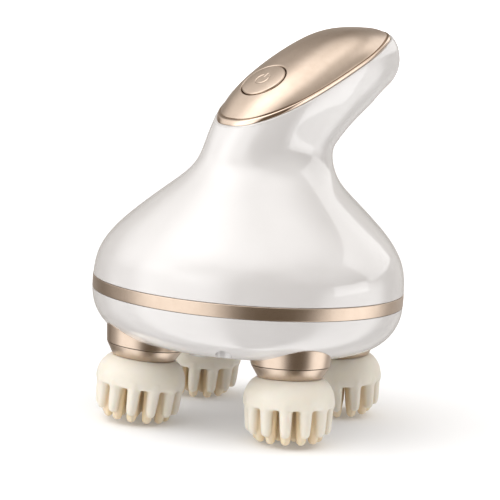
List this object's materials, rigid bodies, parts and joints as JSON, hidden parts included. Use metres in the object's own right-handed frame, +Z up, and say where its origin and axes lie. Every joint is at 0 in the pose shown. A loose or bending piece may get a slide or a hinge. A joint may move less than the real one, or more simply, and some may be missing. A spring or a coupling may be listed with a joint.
{
  "type": "scalp massager",
  "caption": "Hand-held electric scalp massager: pear-shaped body with a bent handle, a push button on a gold plate, and splayed silicone finger heads that turn below.",
  "frame": {"origin": "middle of the overall box, on the floor that the fingertips stand on", "axes": "+Z up; +X along the way the handle points; the base's own axis is parallel to Z, a little toward -X"},
  "size_m": [0.1338, 0.125, 0.1598],
  "materials": {
    "white_shell": "gloss",
    "satin_gold": "satin",
    "polished_gold": "polished",
    "silicone": "satin",
    "seal_rubber": "matte",
    "steel": "brushed",
    "plated_steel": "polished",
    "gear_plastic": "satin",
    "frame_plastic": "matte",
    "bearing_bronze": "satin",
    "board": "satin",
    "cell_wrap": "satin",
    "wire_jacket": "matte"
  },
  "bodies": {
    "housing": {"lower_shell": "white_shell", "upper_shell": "white_shell", "trim_band": "satin_gold", "shell_gasket": "seal_rubber", "shell_screws": "steel", "plate_rim": "polished_gold", "top_plate": "satin_gold", "tact_switch": "frame_plastic", "button_board": "board", "board_screws": "steel", "battery_cell": "cell_wrap", "battery_cradle": "frame_plastic", "central_axle": "steel", "compound_axle": "steel", "gear_plate": "frame_plastic", "motor": "plated_steel", "motor_screws": "steel", "control_board": "board", "wiring": "wire_jacket", "charging_socket": "white_shell", "socket_sleeve": "plated_steel", "rear_shaft_bush": "bearing_bronze", "rear_shaft_seal": "seal_rubber", "rear_collar": "satin_gold", "left_shaft_bush": "bearing_bronze", "left_shaft_seal": "seal_rubber", "left_collar": "satin_gold", "front_shaft_bush": "bearing_bronze", "front_shaft_seal": "seal_rubber", "front_collar": "satin_gold", "right_shaft_bush": "bearing_bronze", "right_shaft_seal": "seal_rubber", "right_collar": "satin_gold"},
    "button": {"power_button": "satin_gold", "switch_plunger": "frame_plastic"},
    "central_wheel": {"central_gear": "gear_plastic"},
    "compound_wheel": {"compound_gear": "gear_plastic"},
    "motor_rotor": {"motor_shaft": "steel", "motor_pinion": "bearing_bronze"},
    "rear_head": {"rear_massage_head": "silicone", "rear_head_hub": "frame_plastic", "rear_head_ring": "satin_gold", "rear_head_shaft": "steel", "rear_output_gear": "gear_plastic"},
    "left_head": {"left_massage_head": "silicone", "left_head_hub": "frame_plastic", "left_head_ring": "satin_gold", "left_head_shaft": "steel", "left_output_gear": "gear_plastic"},
    "front_head": {"front_massage_head": "silicone", "front_head_hub": "frame_plastic", "front_head_ring": "satin_gold", "front_head_shaft": "steel", "front_output_gear": "gear_plastic"},
    "right_head": {"right_massage_head": "silicone", "right_head_hub": "frame_plastic", "right_head_ring": "satin_gold", "right_head_shaft": "steel", "right_output_gear": "gear_plastic"}
  },
  "joints": [
    {"name": "button_press", "type": "slide", "parent": "housing", "child": "button", "axis": [0.6293, 0, -0.7771], "range_m": [0, 0.0007], "stiffness_N_per_m": 2800},
    {"name": "central_spin", "type": "hinge", "parent": "housing", "child": "central_wheel", "pos_m": [-0.00438, 0, 0.0416], "axis": [0, 0, 1], "continuous": true},
    {"name": "compound_spin", "type": "hinge", "parent": "housing", "child": "compound_wheel", "pos_m": [0.02592, 0.01544, 0.0486], "axis": [0, 0, 1], "continuous": true},
    {"name": "motor_spin", "type": "hinge", "parent": "housing", "child": "motor_rotor", "pos_m": [0.00953, 0.00708, 0.0546], "axis": [0, 0, 1], "continuous": true},
    {"name": "rear_head_spin", "type": "hinge", "parent": "housing", "child": "rear_head", "pos_m": [0.03553, -0.01297, 0.04254], "axis": [-0.0746, 0.0242, 0.9969], "continuous": true},
    {"name": "left_head_spin", "type": "hinge", "parent": "housing", "child": "left_head", "pos_m": [0.00859, 0.03991, 0.04254], "axis": [-0.0242, -0.0746, 0.9969], "continuous": true},
    {"name": "front_head_spin", "type": "hinge", "parent": "housing", "child": "front_head", "pos_m": [-0.04428, 0.01297, 0.04254], "axis": [0.0746, -0.0242, 0.9969], "continuous": true},
    {"name": "right_head_spin", "type": "hinge", "parent": "housing", "child": "right_head", "pos_m": [-0.01734, -0.03991, 0.04254], "axis": [0.0242, 0.0746, 0.9969], "continuous": true}
  ],
  "couplings": [
    {"joint": "compound_spin", "follows": "central_spin", "ratio": -4.6667},
    {"joint": "motor_spin", "follows": "central_spin", "ratio": 16.8},
    {"joint": "rear_head_spin", "follows": "central_spin", "ratio": -2.5},
    {"joint": "left_head_spin", "follows": "central_spin", "ratio": -2.5},
    {"joint": "front_head_spin", "follows": "central_spin", "ratio": -2.5},
    {"joint": "right_head_spin", "follows": "central_spin", "ratio": -2.5}
  ]
}
